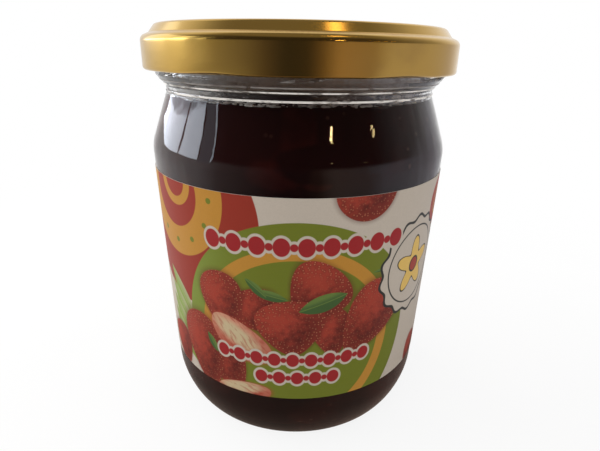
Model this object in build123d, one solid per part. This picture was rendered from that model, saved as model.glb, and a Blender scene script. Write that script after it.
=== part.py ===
from build123d import *
import math
import os

# A round preserving jar with a lug cap, filled with jam and wrapped in a paper label.
# Millimetres and degrees. +Z is up, the jar stands on Z 0 and its axis is the Z axis.
# Turns are drawn in the XZ plane as (radius, height) and revolved about the axis.
# The first lug and the first thread are set out from the front of the jar, which is -Y.

# Body of the jar
body_radius = 42.1  # where the body would meet the shoulder if the corner were sharp
body_taper = 1.98  # the body narrows towards its foot by this angle
shoulder_height = 80.8
shoulder_rise = 13.5  # from the shoulder corner up to the neck
shoulder_round = 10.0
wall = 2.4

# Foot of the jar
heel_corner_height = 7.05  # where body and heel would meet
heel_angle = 33.0  # of the heel from upright
heel_round = 20.0
foot_round = 3.5
stand_width = 4.5  # from the foot's outer corner to the hollow under the base
hollow_run = 3.0
hollow_depth = 1.4
base_thickness = 3.6
inner_heel_round = 11.0
inner_neck_round = 2.0

# Neck and finish, the part that takes the cap
finish_radius = 39.8
neck_inset = 2.45  # how far the neck lies inside the finish
neck_band = 1.9
bead_rise = 2.7  # height of the slope from the neck out to the finish
finish_height = 11.5
neck_round = 0.5
bead_round = 0.6
rim_outer_round = 2.4
rim_inner_round = 1.2

# Threads
thread_count = 6
thread_depth = 1.15
thread_ring_radius = 31.0  # each thread is a crescent cut from a ring of this radius
thread_root = 1.65  # from the crest down into the glass
thread_crest_half = 0.4
thread_flank_half = 1.15
thread_slope = 10.0
thread_half_arc = 34.0  # of its own ring, far enough for both ends to run into the glass
thread_low_end = 5.0  # the first thread starts this far left of the front

# Cap
sheet = 0.25
cap_height = 11.0
skirt_gap = 1.55  # between thread crest and skirt
seal = 0.35
curl_radius = 0.8
shoulder_drop = 3.05  # from the cap's top to where skirt and ledge would meet
ledge_width = 2.15
ledge_rise = 0.9
ring_run = 1.6
ring_width = 3.8
panel_run = 1.6
panel_drop = 1.4
button_radius = 12.5
button_run = 1.5
button_rise = 0.6
skirt_round = 1.6
crease_round = 0.4
ring_outer_round = 1.2
panel_round = 0.6
seal_reach = 1.0  # the sealing ring is this much wider than the rim's flat, each side

# Lugs of the cap
lug_arc = 15.0
lug_thickness = 1.3
lug_lift = 0.15  # above the cap's lower edge
lug_wall_gap = 0.45
lug_thread_gap = 0.05
first_lug = 34.0  # right of the front

# Contents and label
headspace = 17.0  # from the jam up to the rim
label_foot_gap = 4.8  # from the heel's rounding up to the label
label_head_gap = 4.1  # from the label up to the shoulder's rounding
label_thickness = 0.15
label_opening = 14.0  # angle left bare at the back


def up(degrees):
    """Tangent of an angle in degrees."""
    return math.tan(math.radians(degrees))


def meet(low, run_low, high, run_high):
    """Crossing of two outlines, each a (radius, height) point and its run outwards per unit of height."""
    height = (low[0] - high[0] + run_high * high[1] - run_low * low[1]) / (run_high - run_low)
    return (low[0] + run_low * (height - low[1]), height)


def inside(point, run, depth):
    """The point moved square to an outline of the given run, into the solid by a depth."""
    length = math.hypot(run, 1)
    return (point[0] - depth / length, point[1] + depth * run / length)


def turned(outline, rounds, arc=360):
    """Solid of revolution of a closed outline of (radius, height) corners."""
    points = [(radius, 0, height) for radius, height in outline]
    return revolve(make_face(FilletPolyline(*points, radius=rounds, close=True)), Axis.Z, arc)


# Heights up the jar
neck_height = shoulder_height + shoulder_rise
neck_top = neck_height + neck_band
finish_foot = neck_top + bead_rise
rim_height = finish_foot + finish_height
jam_height = rim_height - headspace

# Radii and runs of the jar's outline
neck_radius = finish_radius - neck_inset
bore_radius = neck_radius - wall
body_run = up(body_taper)
heel_run = up(heel_angle)
shoulder_run = (neck_radius - body_radius) / shoulder_rise
shoulder_corner = (body_radius, shoulder_height)
heel_corner = (body_radius - body_run * (shoulder_height - heel_corner_height), heel_corner_height)
foot_corner = (heel_corner[0] - heel_run * heel_corner_height, 0)

# Heights and radii of the cap
cap_top = rim_height + seal + sheet
cap_foot = cap_top - cap_height
panel_height = cap_top - panel_drop
lug_top = cap_foot + lug_lift + lug_thickness
skirt_radius = finish_radius + thread_depth + skirt_gap + sheet
ring_radius = skirt_radius - ledge_width - ring_run
panel_radius = ring_radius - ring_width - panel_run

# Edges of the label, each a set distance from the nearest rounding of the body
heel_turn = (heel_angle - body_taper) / 2
shoulder_turn = (body_taper + math.degrees(math.atan(-shoulder_run))) / 2
heel_reach = heel_round * up(heel_turn) * math.cos(math.radians(body_taper))
label_foot = heel_corner_height + heel_reach + label_foot_gap
label_head = shoulder_height - shoulder_round * up(shoulder_turn) - label_head_gap


def body_radius_at(height):
    """Outer radius of the straight part of the body."""
    return body_radius - body_run * (shoulder_height - height)


def jar_outside():
    """The jar as if it were solid glass."""
    stand = foot_corner[0] - stand_width
    outline = [(0, hollow_depth), (stand - hollow_run, hollow_depth), (stand, 0)]
    rounds = [0, 1.0, 0.5]
    outline += [foot_corner, heel_corner, shoulder_corner]
    rounds += [foot_round, heel_round, shoulder_round]
    outline += [(neck_radius, neck_height), (neck_radius, neck_top), (finish_radius, finish_foot)]
    rounds += [neck_round, neck_round, bead_round]
    outline += [(finish_radius, rim_height), (0, rim_height)]
    rounds += [rim_outer_round, 0]
    return turned(outline, rounds)


def cavity():
    """The room inside the jar, from its floor up through the mouth."""
    body_point = inside(shoulder_corner, body_run, wall)
    shoulder_point = inside(shoulder_corner, shoulder_run, wall)
    floor_radius = body_point[0] - body_run * (body_point[1] - base_thickness)
    outline = [(0, base_thickness), (floor_radius, base_thickness)]
    rounds = [0, inner_heel_round]
    outline += [meet(body_point, body_run, shoulder_point, shoulder_run)]
    rounds += [shoulder_round - wall]
    outline += [meet(shoulder_point, shoulder_run, (bore_radius, neck_height), 0)]
    rounds += [inner_neck_round]
    outline += [(bore_radius, rim_height), (0, rim_height)]
    rounds += [0, 0]
    return turned(outline, rounds)


def thread():
    """One crescent of thread, lying level, with its middle on the X axis."""
    crest = thread_ring_radius
    root = crest - thread_root
    outline = [(root, -thread_flank_half), (crest, -thread_crest_half)]
    outline += [(crest, thread_crest_half), (root, thread_flank_half)]
    crescent = turned(outline, 0, 2 * thread_half_arc)
    crescent = Rot(Z=-thread_half_arc) * crescent
    return Pos(X=finish_radius + thread_depth - thread_ring_radius) * crescent


def thread_reach():
    """Angle about the jar's axis from a thread's middle to where it fades into the wall."""
    offset = finish_radius + thread_depth - thread_ring_radius
    side = (finish_radius**2 + offset**2 - thread_ring_radius**2) / (2 * finish_radius * offset)
    return math.degrees(math.acos(side))


def threads():
    """All threads, climbing to the right, each clear above the lug that holds under it."""
    middle = -90 - thread_low_end + thread_reach()
    lug_angle = -90 + first_lug
    run = math.radians(lug_angle - middle) * finish_radius
    lug_half = math.radians(lug_arc / 2) * finish_radius
    under_lug = lug_top + lug_thread_gap + lug_half * up(thread_slope)
    height = under_lug - run * up(thread_slope) + thread_flank_half
    one = Pos(Z=height) * Rot(X=thread_slope) * thread()
    pitch = 360 / thread_count
    return [Rot(Z=middle + number * pitch) * one for number in range(thread_count)]


def jar():
    """Glass with its threads, hollow to the rim, the mouth's inner edge rounded."""
    glass = jar_outside()
    for ridge in threads():
        glass += ridge
    glass -= cavity()
    mouth = [
        edge
        for edge in glass.edges().filter_by(GeomType.CIRCLE)
        if abs(edge.center().Z - rim_height) < 1e-4 and abs(edge.radius - bore_radius) < 1e-4
    ]
    return fillet(mouth, rim_inner_round)


def jam():
    """Everything the cavity holds up to the fill height."""
    size = 4 * body_radius
    above = Pos(Z=jam_height) * Box(size, size, size, align=(Align.CENTER, Align.CENTER, Align.MIN))
    return cavity() - above


def cap_sheet():
    """The pressed sheet: skirt, ledge, raised ring, sunk panel and button."""
    corners = [(skirt_radius, cap_foot + curl_radius), (skirt_radius, cap_top - shoulder_drop)]
    corners += [(skirt_radius - ledge_width, cap_top - shoulder_drop + ledge_rise)]
    corners += [(ring_radius, cap_top), (ring_radius - ring_width, cap_top)]
    corners += [(panel_radius, panel_height), (button_radius, panel_height)]
    corners += [(button_radius - button_run, panel_height + button_rise)]
    corners += [(0, panel_height + button_rise)]
    rounds = [skirt_round, crease_round, ring_outer_round] + 4 * [panel_round]
    line = FilletPolyline(*[(radius, 0, height) for radius, height in corners], radius=rounds)
    return revolve(make_face(offset(line, sheet, side=Side.RIGHT)), Axis.Z)


def cap_curl():
    """The sheet's lower edge, rolled inwards."""
    section = Plane.XZ * Pos(skirt_radius - curl_radius, cap_foot + curl_radius) * Circle(curl_radius)
    return revolve(section, Axis.Z)


def cap_seal():
    """The flat ring under the raised part that lies on the glass."""
    inner = bore_radius + rim_inner_round - seal_reach
    outer = finish_radius - rim_outer_round + seal_reach
    top = rim_height + seal + sheet / 2
    return turned([(inner, rim_height), (outer, rim_height), (outer, top), (inner, top)], 4 * [0])


def cap_lugs():
    """The places where the rolled edge is pressed in under the threads."""
    inner = finish_radius + lug_wall_gap
    outer = skirt_radius - curl_radius
    foot = cap_foot + lug_lift
    outline = [(inner, foot), (outer, foot), (outer, lug_top), (inner, lug_top)]
    lug = turned(outline, 4 * [0], lug_arc)
    start = -90 + first_lug - lug_arc / 2
    pitch = 360 / thread_count
    return [Rot(Z=start + number * pitch) * lug for number in range(thread_count)]


def cap():
    """Sheet, rolled edge, sealing ring and lugs, which are one piece."""
    steel = cap_sheet() + cap_curl() + cap_seal()
    for lug in cap_lugs():
        steel += lug
    return steel


def label():
    """The paper on the straight part of the body, open in a strip at the back."""
    corners = []
    for height in (label_foot, label_head):
        corners += [(body_radius_at(height), height)]
    outer = [(radius + label_thickness, height) for radius, height in reversed(corners)]
    paper = turned(corners + outer, 4 * [0], 360 - label_opening)
    return Rot(Z=90 + label_opening / 2) * paper


os.makedirs("parts", exist_ok=True)
for name, piece in {"jar": jar(), "jam": jam(), "cap": cap(), "label": label()}.items():
    export_step(piece, f"parts/{name}.step")
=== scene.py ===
"""A closed jar of jam: glass, jam, foam, cap and paper label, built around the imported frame.

It is laid out as an add-on. Each piece has its own operator, and the sizes and colours are
properties of the scene. Lengths are metres, +Z is up and the front of the jar is -Y.
"""

import math
import random

import bmesh
import bpy
from bpy.props import FloatProperty, FloatVectorProperty, IntProperty, PointerProperty
from bpy.types import Operator, Panel, PropertyGroup
from mathutils import Matrix, Vector, noise


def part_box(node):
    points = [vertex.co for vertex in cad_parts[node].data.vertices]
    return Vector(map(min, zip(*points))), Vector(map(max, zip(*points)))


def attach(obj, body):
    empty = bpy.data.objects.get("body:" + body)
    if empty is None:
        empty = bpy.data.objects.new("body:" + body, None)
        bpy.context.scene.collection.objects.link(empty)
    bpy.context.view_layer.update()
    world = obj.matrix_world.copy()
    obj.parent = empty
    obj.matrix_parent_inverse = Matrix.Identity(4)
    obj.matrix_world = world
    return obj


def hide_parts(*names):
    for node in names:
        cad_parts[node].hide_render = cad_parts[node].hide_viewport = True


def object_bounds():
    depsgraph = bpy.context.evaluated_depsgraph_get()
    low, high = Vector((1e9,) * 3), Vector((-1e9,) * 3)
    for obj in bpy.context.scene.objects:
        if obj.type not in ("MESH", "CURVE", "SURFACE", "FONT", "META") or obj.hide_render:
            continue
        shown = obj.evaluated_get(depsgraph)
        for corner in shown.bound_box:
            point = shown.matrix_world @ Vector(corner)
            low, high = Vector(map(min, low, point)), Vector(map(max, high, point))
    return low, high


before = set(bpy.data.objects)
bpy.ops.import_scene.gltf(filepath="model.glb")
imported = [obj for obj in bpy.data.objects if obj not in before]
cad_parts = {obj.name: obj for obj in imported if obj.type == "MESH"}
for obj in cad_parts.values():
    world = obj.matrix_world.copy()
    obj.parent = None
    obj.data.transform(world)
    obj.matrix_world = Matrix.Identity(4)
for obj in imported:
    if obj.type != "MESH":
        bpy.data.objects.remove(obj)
CAD_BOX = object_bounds()
JAR_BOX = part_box("jar")
JAM_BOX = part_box("jam")
CAP_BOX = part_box("cap")
LABEL_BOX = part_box("label")

bl_info = {
    "name": "Jam Jar",
    "version": (1, 0, 0),
    "blender": (4, 5, 0),
    "location": "View3D > Sidebar > Jam Jar",
    "description": "Builds a closed jar of jam with a gold cap and a printed paper label",
    "category": "Add Mesh",
}

MM = 0.001
TURN_STEPS = 256  # faces round the jar, cap and jam
ARC_STEP = math.radians(5)  # turn of each face along a rounding
CREASE = math.radians(35)  # edges that turn by more than this look sharp
PRINT_MAP = "print"  # the label's own map, in millimetres
ROUND = 42.0 * MM  # radius at which distances round the label are measured
TINY = 1e-6  # metres that count as nothing
FOAM_SEED = 4  # of the random draws
LAMP_DISTANCE = 0.9
AIM_SHARE = 0.75  # the lamps face the jar's axis at this share of its height
FLOOR_HALF = 0.5  # half the floor's side

# The room that gloss mirrors: degrees right of the front, and the colour there
HORIZON = (
    (-180, (250, 250, 250)),
    (-130, (232, 232, 232)),
    (-88, (240, 240, 240)),
    (-72, (205, 205, 205)),
    (-58, (154, 152, 150)),
    (-38, (126, 122, 120)),
    (-22, (88, 80, 80)),
    (-10, (54, 52, 54)),
    (6, (60, 55, 54)),
    (15, (110, 94, 80)),
    (26, (172, 152, 140)),
    (50, (160, 148, 144)),
    (63, (198, 196, 204)),
    (125, (200, 198, 204)),
    (150, (255, 255, 255)),
)
UPPER = (
    (-180, (255, 255, 255)),
    (-122, (255, 255, 255)),
    (-106, (180, 180, 184)),
    (-86, (104, 102, 102)),
    (-55, (66, 62, 60)),
    (0, (46, 42, 40)),
    (60, (70, 62, 58)),
    (86, (140, 138, 136)),
    (108, (176, 174, 172)),
    (122, (220, 218, 216)),
    (142, (255, 255, 255)),
)
CEILING = (128, 124, 120)

# Its window, as degrees right of the front, degrees above the horizon, and brightness
WINDOW = (
    ((-136, -102), (2, 34), 5.8),
    ((-100, -82), (3, 34.5), 5.8),
    ((-81, -70), (2, 33.5), 0.7),
    ((-69.7, -68), (5, 34), 4.0),
)
BLIND_SLOPE = 0.3  # the foot of the window's blind rises to the right, in degrees per degree
BLIND_EDGE = (43.8, 44.6)  # where the blind begins and is whole, in degrees above that slope
BLIND_SHARE = 0.65  # of the light that the blind takes away

# Small lamps that only gloss mirrors, and large ones that only light what is matt, each as
# degrees right of the front, degrees above the horizon, and brightness
SMALL_LAMPS = {
    "front lamp": ((25.4, 27.2), (26.9, 27.6), 50),
    "front lamp, middle": ((24.8, 26.6), (26.1, 26.7), 55),
    "front lamp, foot": ((25.8, 27), (25.4, 25.8), 30),
    "right lamp": ((58.4, 60), (22.5, 23), 16),
    "right lamp, foot": ((59.2, 60.6), (21.8, 22.3), 14),
    "front spark": ((24.5, 26), (18.6, 19.2), 25),
    "right spark": ((49, 51), (16.7, 17.2), 25),
    "high lamp": ((46, 66), (68, 74), 4.5),
}
LARGE_LAMPS = {
    "left light": ((-145, -75), (5, 50), 2.8),
    "right light": ((70, 150), (5, 60), 0.5),
    "front light": ((-40, 40), (15, 70), 0.15),
}


# ---- properties


def length(description, millimetres):
    """A size in metres, written in millimetres."""
    return FloatProperty(description=description, default=millimetres * MM, unit="LENGTH", precision=5)


def angle(description, degrees):
    """An angle, written in degrees."""
    return FloatProperty(description=description, default=math.radians(degrees), subtype="ANGLE")


def linear(red, green, blue):
    """A colour written as 0 to 255 on screen, as the linear values that shaders use."""
    levels = [level / 255 for level in (red, green, blue)]
    return tuple(c / 12.92 if c <= 0.04045 else ((c + 0.055) / 1.055) ** 2.4 for c in levels)


def colour(description, *levels):
    """A colour, written as 0 to 255 on screen."""
    return FloatVectorProperty(description=description, default=linear(*levels), subtype="COLOR", max=1)


def named(group):
    """Gives each property of a group its name, which is its own word with a capital."""
    for key, item in group.__annotations__.items():
        item.keywords["name"] = key.replace("_", " ").capitalize()
    return group


@named
class JarSizes(PropertyGroup):
    """The glass: its outline from the foot up, and its threads."""

    body_radius: length("Where body and shoulder would meet", 42.1)
    body_taper: angle("The body narrows towards its foot by this", 1.98)
    shoulder_height: length("Where the body ends", 80.8)
    shoulder_rise: length("From the shoulder up to the neck", 13.5)
    shoulder_round: length("Rounding of the shoulder", 10)
    wall: length("Thickness of the glass", 2.4)
    heel_height: length("Where body and heel would meet", 7.05)
    heel_angle: angle("Slope of the heel from upright", 33)
    heel_round: length("Rounding between body and heel", 20)
    foot_round: length("Rounding of the foot", 3.5)
    stand_width: length("Ring that the jar stands on", 4.5)
    hollow_run: length("Slope from the stand ring into the hollow", 3)
    hollow_depth: length("Depth of the hollow under the base", 1.4)
    base_thickness: length("Height of the floor inside", 3.6)
    inner_heel_round: length("Rounding of the floor's edge", 11)
    inner_neck_round: length("Rounding where the bore begins", 2)
    finish_radius: length("Radius of the threaded wall", 39.8)
    neck_inset: length("How far the neck lies inside the finish", 2.45)
    neck_band: length("Height of the neck", 1.9)
    bead_rise: length("Slope from the neck out to the finish", 2.7)
    neck_round: length("Rounding of the neck's corners", 0.5)
    rim_outer_round: length("Rounding of the rim outside", 2.4)
    rim_inner_round: length("Rounding of the rim inside", 1.2)
    thread_count: IntProperty(description="Leads round the finish", default=6)
    thread_depth: length("How far a thread stands out", 1.15)
    thread_ring: length("Radius of the ring a thread is cut from", 31)
    thread_crest: length("Half the flat of a thread's crest", 0.4)
    thread_flank: FloatProperty(description="Slope of a thread's sides", default=2.2)
    thread_slope: angle("Climb of a thread, to the right", 10)
    thread_low_end: angle("Start of the first thread, left of the front", 5)
    thread_height: length("Middle of a thread", 101.77)
    seam_angle: angle("Mould seam, right of the front", 44)
    seam_height: length("How far the mould seam stands out", 0.09)
    ripple: length("Unevenness of the glass at the neck", 0.06)
    ripple_reach: length("The ripple fades out below the neck over this", 8)
    line_height: length("Half the width of a mould line round the neck", 0.1)
    line_rise: length("How far a mould line stands out", 0.12)
    # Painted highlight: the mould lines and thread feet are real raised glass, but their near-white
    # colour stands in for light caught on them. The darker colour is the same painted highlight where
    # it is faint.
    frost: colour("Worn glass along mould lines and threads", 250, 244, 236)
    faint_line_highlight: colour("The same where it is hardly worn", 92, 82, 76)


@named
class JamLooks(PropertyGroup):
    """The jam, its foam and the film that it leaves on the glass."""

    sink: length("How far the jam reaches into the wall", 0.12)
    lump: length("Height of the lumps in the surface", 0.55)
    edge: length("How far the jam's edge wanders up and down", 0.45)
    foam_count: IntProperty(description="Bubbles round the edge", default=700)
    foam_size: length("Radius of a large bubble", 0.6)
    foam_turn: angle("Where the foam is thickest, right of the front", -14)
    foam_climb: length("How high bubbles cling above the jam", 2.2)
    film_gap: length("Between the film and the glass", 0.08)
    film_thickness: length("Thickness of the film", 0.04)
    dark: colour("Jam in the depth", 55, 21, 20)
    fruit: colour("Fruit that lies against the glass", 84, 30, 25)
    pip: colour("Pips and small bubbles", 130, 84, 68)
    foam: colour("Bubbles round the edge", 255, 248, 242)
    # Also the colour of the painted highlights on the left of the film
    film: colour("Pale smears on the glass above the jam", 250, 240, 234)
    film_dark: colour("Thin coat on the glass above the jam", 238, 214, 200)


@named
class CapLooks(PropertyGroup):
    """The pressed cap."""

    sheet: length("Thickness of the tinplate", 0.25)
    curl: length("Radius of the rolled edge", 0.8)
    shoulder_drop: length("From the top to where skirt and ledge meet", 3.05)
    ledge_width: length("Width of the ledge", 2.15)
    ledge_rise: length("The ledge climbs inwards by this", 0.9)
    ring_run: length("Slope from the ledge up to the ring", 1.6)
    ring_width: length("Flat of the raised ring", 3.8)
    panel_run: length("Slope from the ring down to the panel", 1.6)
    panel_drop: length("Depth of the panel under the ring", 1.4)
    button_radius: length("Foot of the button", 12.5)
    button_run: length("Slope of the button's side", 1.5)
    button_rise: length("Height of the button", 0.6)
    lug_count: IntProperty(description="Places where the edge is pressed in", default=6)
    lug_angle: angle("Middle of the first lug, right of the front", 34)
    lug_arc: angle("Angle that a pressed place takes up", 30)
    lug_reach: length("How far a lug stands in", 1.0)
    lug_dent: length("How far the edge is pressed in outside", 0.38)
    lug_lift: length("How far the edge is lifted outside", 0.3)
    gold: colour("Gold lacquer", 205, 166, 86)
    gold_worn: colour("Gold lacquer where it is thin", 188, 150, 84)
    enamel: colour("Enamel inside the cap", 150, 134, 104)
    seal: colour("Sealing ring", 222, 214, 196)
    seal_dark: colour("Darker spots of the sealing ring", 206, 200, 188)


@named
class LabelLooks(PropertyGroup):
    """The paper label and its print."""

    thickness: length("Thickness of the paper", 0.15)
    opening: angle("Angle left bare at the back", 14)
    paper: colour("Unprinted ground", 195, 182, 167)
    paper_edge: colour("Cut edge of the paper", 226, 222, 214)
    red: colour("Round red field", 151, 45, 27)
    crimson: colour("Chains of beads", 158, 30, 34)
    orange: colour("Rings", 189, 133, 46)
    green: colour("Round green field", 112, 120, 28)
    leaf: colour("Leaves", 66, 96, 48)
    # Also the colour of the painted sheen on the left of the front field
    leaf_pale: colour("Leaves in the background", 136, 158, 68)
    berry: colour("Lit side of a berry", 166, 58, 40)
    berry_dark: colour("Shaded side of a berry", 90, 25, 18)
    seed: colour("Seeds of the berries", 214, 134, 96)
    flesh: colour("Inside of a cut berry", 204, 140, 112)
    core: colour("Middle of a cut berry", 198, 178, 140)
    ink: colour("Dark outlines", 48, 48, 44)
    tooth: colour("Dark between the paper's fibres", 69, 63, 56)
    petal: colour("Petals of the blossom", 226, 186, 96)


@named
class StageSettings(PropertyGroup):
    """Camera, floor and lamps."""

    camera_distance: length("From the jar's axis", 135.8)
    camera_height: length("Above the floor", 105.1)
    camera_pitch: angle("Tilt down", 21.3134)
    camera_roll: angle("Turn about the line of sight", 1.1251)
    camera_yaw: angle("Turn to the right", 0.3909)
    camera_lens: FloatProperty(description="Focal length on a 36 mm wide sensor", default=26.837)
    fill: FloatProperty(description="Light from all round", default=0.6)
    white: colour("Floor and background", 255, 255, 255)
    shade: colour("Darker patches of the floor", 248, 248, 248)
    table: colour("The floor near the jar, as gloss mirrors it", 126, 110, 100)
    window: colour("Daylight through the window", 236, 243, 255)
    lamp: colour("Light of the small lamps", 255, 214, 150)


# ---- shader maths


def maths(operation, swapped=False):
    """A method that adds a Math node of its own value and others, or of others and its own."""

    def method(self, *others):
        values = (*others, self) if swapped else (self, *others)
        return self.tree.node("ShaderNodeMath", {"operation": operation}, dict(enumerate(values)))

    return method


class Socket:
    """A value in a shader tree. Arithmetic on a number adds Math nodes to the tree."""

    __add__ = __radd__ = maths("ADD")
    __mul__ = __rmul__ = maths("MULTIPLY")
    __sub__ = maths("SUBTRACT")
    __rsub__ = maths("SUBTRACT", swapped=True)
    __truediv__ = maths("DIVIDE")
    __rtruediv__ = maths("DIVIDE", swapped=True)
    __pow__ = maths("POWER")
    __abs__ = maths("ABSOLUTE")
    least = maths("MINIMUM")
    most = maths("MAXIMUM")
    beyond = maths("GREATER_THAN")
    pingpong = maths("PINGPONG")
    cosine = maths("COSINE")
    arcsine = maths("ARCSINE")
    arctan2 = maths("ARCTAN2")

    def __init__(self, tree, output):
        self.tree = tree
        self.output = output


class Tree:
    """A shader tree that is built up from expressions."""

    def __init__(self, owner):
        owner.use_nodes = True
        self.owner = owner
        self.inner = owner.node_tree
        self.inner.nodes.clear()

    def node(self, kind, settings=None, values=None, output=0):
        """Adds a node with its settings first, then its inputs' values or links."""
        made = self.inner.nodes.new(kind)
        for name, setting in (settings or {}).items():
            if name == "stops":
                self.set_stops(made.color_ramp, setting)
            else:
                setattr(made, name, setting)
        for name, value in (values or {}).items():
            socket = made.inputs[name]
            if isinstance(value, Socket):
                self.inner.links.new(value.output, socket)
            elif socket.type == "RGBA":
                socket.default_value = (*value[:3], 1)
            else:
                socket.default_value = value
        return Socket(self, made.outputs[output]) if made.outputs else None

    def set_stops(self, ramp, stops):
        """Gives a colour ramp its stops, as (position, colour)."""
        while len(ramp.elements) < len(stops):
            ramp.elements.new(1)
        for element, (position, shade) in zip(ramp.elements, stops):
            element.position = position
            element.color = (*shade[:3], 1)

    def mix(self, factor, first, second):
        """A colour between two."""
        values = {0: factor, 6: first, 7: second}
        return self.node("ShaderNodeMix", {"data_type": "RGBA"}, values, output=2)

    def fade(self, value, start, end):
        """0 at the start and 1 at the end, smooth between."""
        values = {0: value, 1: start, 2: end}
        return self.node("ShaderNodeMapRange", {"interpolation_type": "SMOOTHSTEP"}, values)

    def band(self, value, low, high, soft=0.3):
        """1 between two values, falling to 0 just outside."""
        half = (high - low) / 2
        return self.fade(abs(value - (low + half)), half + soft, half - soft)

    def place(self):
        """Object coordinates."""
        return self.node("ShaderNodeTexCoord", output=3)

    def apart(self, vector):
        """The three numbers of a vector."""
        first = self.node("ShaderNodeSeparateXYZ", values={0: vector})
        return [Socket(self, output) for output in first.output.node.outputs]

    def about(self, vector, spot, turn=0.0, sizes=(1, 1, 1)):
        """Coordinates about a spot, turned by degrees and measured in the given sizes."""
        values = {"Vector": vector, "Location": spot, "Scale": sizes}
        values["Rotation"] = (0, 0, math.radians(turn))
        return self.node("ShaderNodeMapping", {"vector_type": "TEXTURE"}, values)

    def distance(self, vector):
        """How far a vector reaches from its spot."""
        return self.node("ShaderNodeVectorMath", {"operation": "LENGTH"}, {0: vector}, output=1)

    def grain(self, vector, scale, detail=2.0, roughness=0.5):
        """Noise with its middle at 0.5, at one scale or at one for each axis."""
        if isinstance(scale, tuple):
            vector = self.node("ShaderNodeMapping", values={"Vector": vector, "Scale": scale})
            scale = 1
        values = {"Vector": vector, "Scale": scale, "Detail": detail, "Roughness": roughness}
        return self.node("ShaderNodeTexNoise", values=values)

    def cells(self, vector, scale, randomness=1.0, plane="3D"):
        """Distance to the nearest of scattered points, in cells."""
        values = {"Vector": vector, "Scale": scale, "Randomness": randomness}
        return self.node("ShaderNodeTexVoronoi", {"voronoi_dimensions": plane}, values)

    def bump(self, height, distance, strength=1.0):
        """A normal from a height."""
        values = {"Height": height, "Distance": distance, "Strength": strength}
        return self.node("ShaderNodeBump", values=values)

    def principled(self, values):
        """A Principled shader."""
        return self.node("ShaderNodeBsdfPrincipled", values=values)

    def surface(self, shader):
        """Ends a material's tree."""
        self.node("ShaderNodeOutputMaterial", values={"Surface": shader})
        return self.owner

    def finish(self, values):
        """Ends a material's tree with one Principled shader."""
        return self.surface(self.principled(values))


def new_tree(name):
    """The empty tree of a new material."""
    return Tree(bpy.data.materials.new(name))


# ---- modelling


def meet(low, low_run, high, high_run):
    """Crossing of two outlines, each a (radius, height) point and its run per unit of height."""
    height = low[0] - high[0] + high_run * high[1] - low_run * low[1]
    height /= high_run - low_run
    return (low[0] + low_run * (height - low[1]), height)


def inside(point, run, depth):
    """A point moved square to an outline of the given run, into the solid."""
    size = math.hypot(run, 1)
    return (point[0] - depth / size, point[1] + depth * run / size)


def drawn_outline(corners, closed=False):
    """A bmesh with a line through (radius, height, rounding) corners, its roundings as arcs."""
    shape = bmesh.new()
    spots = [Vector((radius, 0, height)) for radius, height, _ in corners]
    points = [shape.verts.new(spot) for spot in spots]
    count = len(points)
    for number in range(count if closed else count - 1):
        shape.edges.new((points[number], points[(number + 1) % count]))
    for number in range(0 if closed else 1, count if closed else count - 1):
        rounding = corners[number][2]
        before = spots[number - 1] - spots[number]
        after = spots[(number + 1) % count] - spots[number]
        turn = math.pi - before.angle(after)
        if rounding == 0 or turn < 1e-4:
            continue
        bevel = {"affect": "VERTICES", "profile": 0.5, "material": -1, "clamp_overlap": False}
        bevel["segments"] = max(2, math.ceil(turn / ARC_STEP))
        offset = rounding * math.tan(turn / 2)
        bmesh.ops.bevel(shape, geom=[points[number]], offset=offset, offset_type="OFFSET", **bevel)
    return shape


def divide(shape, longest, within=None):
    """Cuts the line's edges so that none is longer than this, where both ends pass the test."""
    for edge in list(shape.edges):
        ends = [vert.co for vert in edge.verts]
        cuts = math.ceil(edge.calc_length() / longest) - 1
        if cuts > 0 and (within is None or all(within(end) for end in ends)):
            bmesh.ops.subdivide_edges(shape, edges=[edge], cuts=cuts)


def spin(shape, start=0.0, arc=math.tau):
    """Turns the line about the axis into a surface. Angles run from -Y, rightwards."""
    first = Matrix.Rotation(start - math.pi / 2, 4, "Z")
    bmesh.ops.transform(shape, matrix=first, verts=shape.verts)
    bmesh.ops.spin(
        shape,
        geom=shape.verts[:] + shape.edges[:],
        cent=(0, 0, 0),
        axis=(0, 0, 1),
        dvec=(0, 0, 0),
        angle=arc,
        steps=TURN_STEPS,
        use_merge=arc >= math.tau,
        use_duplicate=False,
    )
    bmesh.ops.remove_doubles(shape, verts=shape.verts, dist=1e-7)
    bmesh.ops.recalc_face_normals(shape, faces=shape.faces)


def thicken(shape, thickness):
    """Gives a surface its thickness, inwards. The faces that this adds are given back."""
    outside = shape.faces[:]
    bmesh.ops.solidify(shape, geom=outside, thickness=thickness)
    return set(shape.faces).difference(outside)


def polar(spot):
    """Angle from the front, rightwards, and radius of a point."""
    return math.atan2(spot.x, -spot.y), math.hypot(spot.x, spot.y)


def set_radius(vert, radius):
    """Moves a vertex square to the axis."""
    scale = radius / math.hypot(vert.co.x, vert.co.y)
    vert.co.x *= scale
    vert.co.y *= scale


def smooth(value):
    """0 to 1 with a soft start and end."""
    value = min(max(value, 0.0), 1.0)
    return value * value * (3 - 2 * value)


def hump(value, half, soft):
    """1 within half of 0, falling softly to 0."""
    return smooth((half + soft - abs(value)) / soft)


def folded(turn, count, first):
    """Angle from the nearest of equally spaced places round the axis."""
    pitch = math.tau / count
    return (turn - first + pitch / 2) % pitch - pitch / 2


def placed(name, shape, *materials):
    """An object from a bmesh, linked to the scene."""
    mesh = bpy.data.meshes.new(name)
    shape.to_mesh(mesh)
    shape.free()
    for material in materials:
        mesh.materials.append(material)
    item = bpy.data.objects.new(name, mesh)
    bpy.context.scene.collection.objects.link(item)
    return item


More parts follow.
